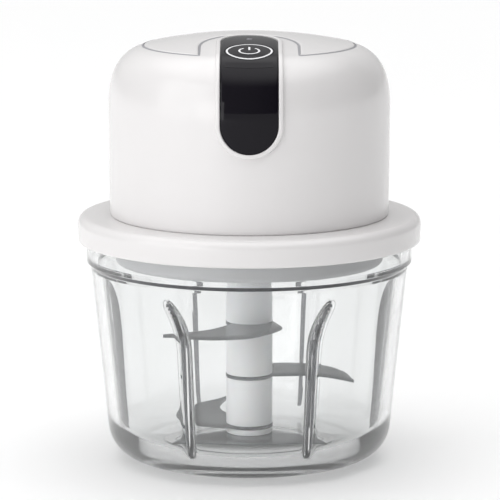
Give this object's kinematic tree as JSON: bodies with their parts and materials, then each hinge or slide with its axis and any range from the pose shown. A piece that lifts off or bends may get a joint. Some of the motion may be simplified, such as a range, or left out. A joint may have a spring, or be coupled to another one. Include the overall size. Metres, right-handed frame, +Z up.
{
  "type": "cordless mini food processor",
  "caption": "Compact cordless food chopper: clear ribbed bowl, stacked sickle blades on a hub, and a domed white motor head with a black control strip.",
  "frame": {"origin": "centre of the bowl's foot, on the surface it stands on", "axes": "+Z up along the shaft, -Y the front with the control panel, +X to the right seen from the front"},
  "size_m": [0.0924, 0.0924, 0.1162],
  "materials": {
    "clear_bowl": "clear polished SAN",
    "white_abs": "gloss moulded",
    "grey_abs": "satin moulded",
    "panel_black": "piano gloss",
    "white_pom": "satin moulded",
    "blade_steel": "satin ground",
    "pin_steel": "polished",
    "silicone": "matt silicone",
    "brass": "turned",
    "copper": "enamelled wire",
    "zinc_steel": "zinc plated",
    "core_steel": "laminated",
    "dark_plastic": "matt",
    "gear_nylon": "moulded",
    "board_green": "solder mask",
    "cell_sleeve": "shrink sleeve",
    "lamp": "translucent"
  },
  "bodies": {
    "bowl": {"bowl": "clear_bowl", "bowl_pin": "pin_steel"},
    "power_head": {"lid_collar": "white_abs", "head_base": "grey_abs", "lid_gasket": "silicone", "shaft_seal": "silicone", "output_bush": "brass", "motor_housing": "white_abs", "top_cover": "white_abs", "panel_bezel": "white_abs", "panel_lens": "panel_black", "status_light": "lamp", "tact_switch": "dark_plastic", "control_board": "board_green", "gear_ring": "gear_nylon", "gear_cover": "gear_nylon", "motor_can": "zinc_steel", "motor_magnets": "core_steel", "motor_bushes": "brass", "motor_end_bell": "dark_plastic", "motor_brushes": "dark_plastic", "motor_terminals": "brass", "battery_cell": "cell_sleeve", "battery_cradle": "dark_plastic", "charge_board": "board_green", "charge_socket": "zinc_steel", "leads": "dark_plastic", "gear_screws": "zinc_steel"},
    "start_button": {"start_button": "panel_black"},
    "port_cover": {"port_cover": "silicone"},
    "output_shaft": {"carrier": "zinc_steel", "planet_pins": "pin_steel", "drive_coupling": "gear_nylon"},
    "motor_rotor": {"motor_shaft": "pin_steel", "armature_core": "core_steel", "windings": "copper", "commutator": "copper", "sun_pinion": "zinc_steel"},
    "planet_1": {"planet_gear_1": "gear_nylon"},
    "planet_2": {"planet_gear_2": "gear_nylon"},
    "planet_3": {"planet_gear_3": "gear_nylon"},
    "blade_unit": {"hub_core": "white_pom", "hub_bushes": "brass", "hub_collar": "white_pom", "hub_spacer_low": "white_pom", "hub_spacer_mid": "white_pom", "hub_spacer_high": "white_pom", "blade_top": "blade_steel", "blade_middle": "blade_steel", "blade_lower": "blade_steel", "blade_bottom": "blade_steel"}
  },
  "joints": [
    {"name": "head_lift", "type": "slide", "parent": "bowl", "child": "power_head", "axis": [0, 0, 1], "range_m": [0, 0.16]},
    {"name": "button_press", "type": "slide", "parent": "power_head", "child": "start_button", "axis": [0, 0.2588, -0.9659], "range_m": [0, 0.0008], "stiffness_N_per_m": 400, "springref_m": -0.001},
    {"name": "port_cover_swing", "type": "hinge", "parent": "power_head", "child": "port_cover", "pos_m": [0, 0.0377, 0.07035], "axis": [-1, 0, 0], "range_deg": [0, 100]},
    {"name": "output_spin", "type": "hinge", "parent": "power_head", "child": "output_shaft", "pos_m": [0, 0, 0.06], "axis": [0, 0, 1], "continuous": true},
    {"name": "motor_spin", "type": "hinge", "parent": "power_head", "child": "motor_rotor", "pos_m": [0, 0, 0.09], "axis": [0, 0, 1], "continuous": true},
    {"name": "blade_lift", "type": "slide", "parent": "output_shaft", "child": "blade_unit", "axis": [0, 0, 1], "range_m": [-0.085, 0]},
    {"name": "planet_1_spin", "type": "hinge", "parent": "output_shaft", "child": "planet_1", "pos_m": [0.0081, 0, 0.072], "axis": [0, 0, 1], "continuous": true},
    {"name": "planet_2_spin", "type": "hinge", "parent": "output_shaft", "child": "planet_2", "pos_m": [-0.00405, 0.00701, 0.072], "axis": [0, 0, 1], "continuous": true},
    {"name": "planet_3_spin", "type": "hinge", "parent": "output_shaft", "child": "planet_3", "pos_m": [-0.00405, -0.00701, 0.072], "axis": [0, 0, 1], "continuous": true}
  ],
  "couplings": [
    {"joint": "motor_spin", "follows": "output_spin", "ratio": 4.5},
    {"joint": "planet_1_spin", "follows": "output_spin", "ratio": -2.8},
    {"joint": "planet_2_spin", "follows": "output_spin", "ratio": -2.8},
    {"joint": "planet_3_spin", "follows": "output_spin", "ratio": -2.8},
    {"joint": "blade_lift", "follows": "head_lift", "ratio": -0.5}
  ]
}
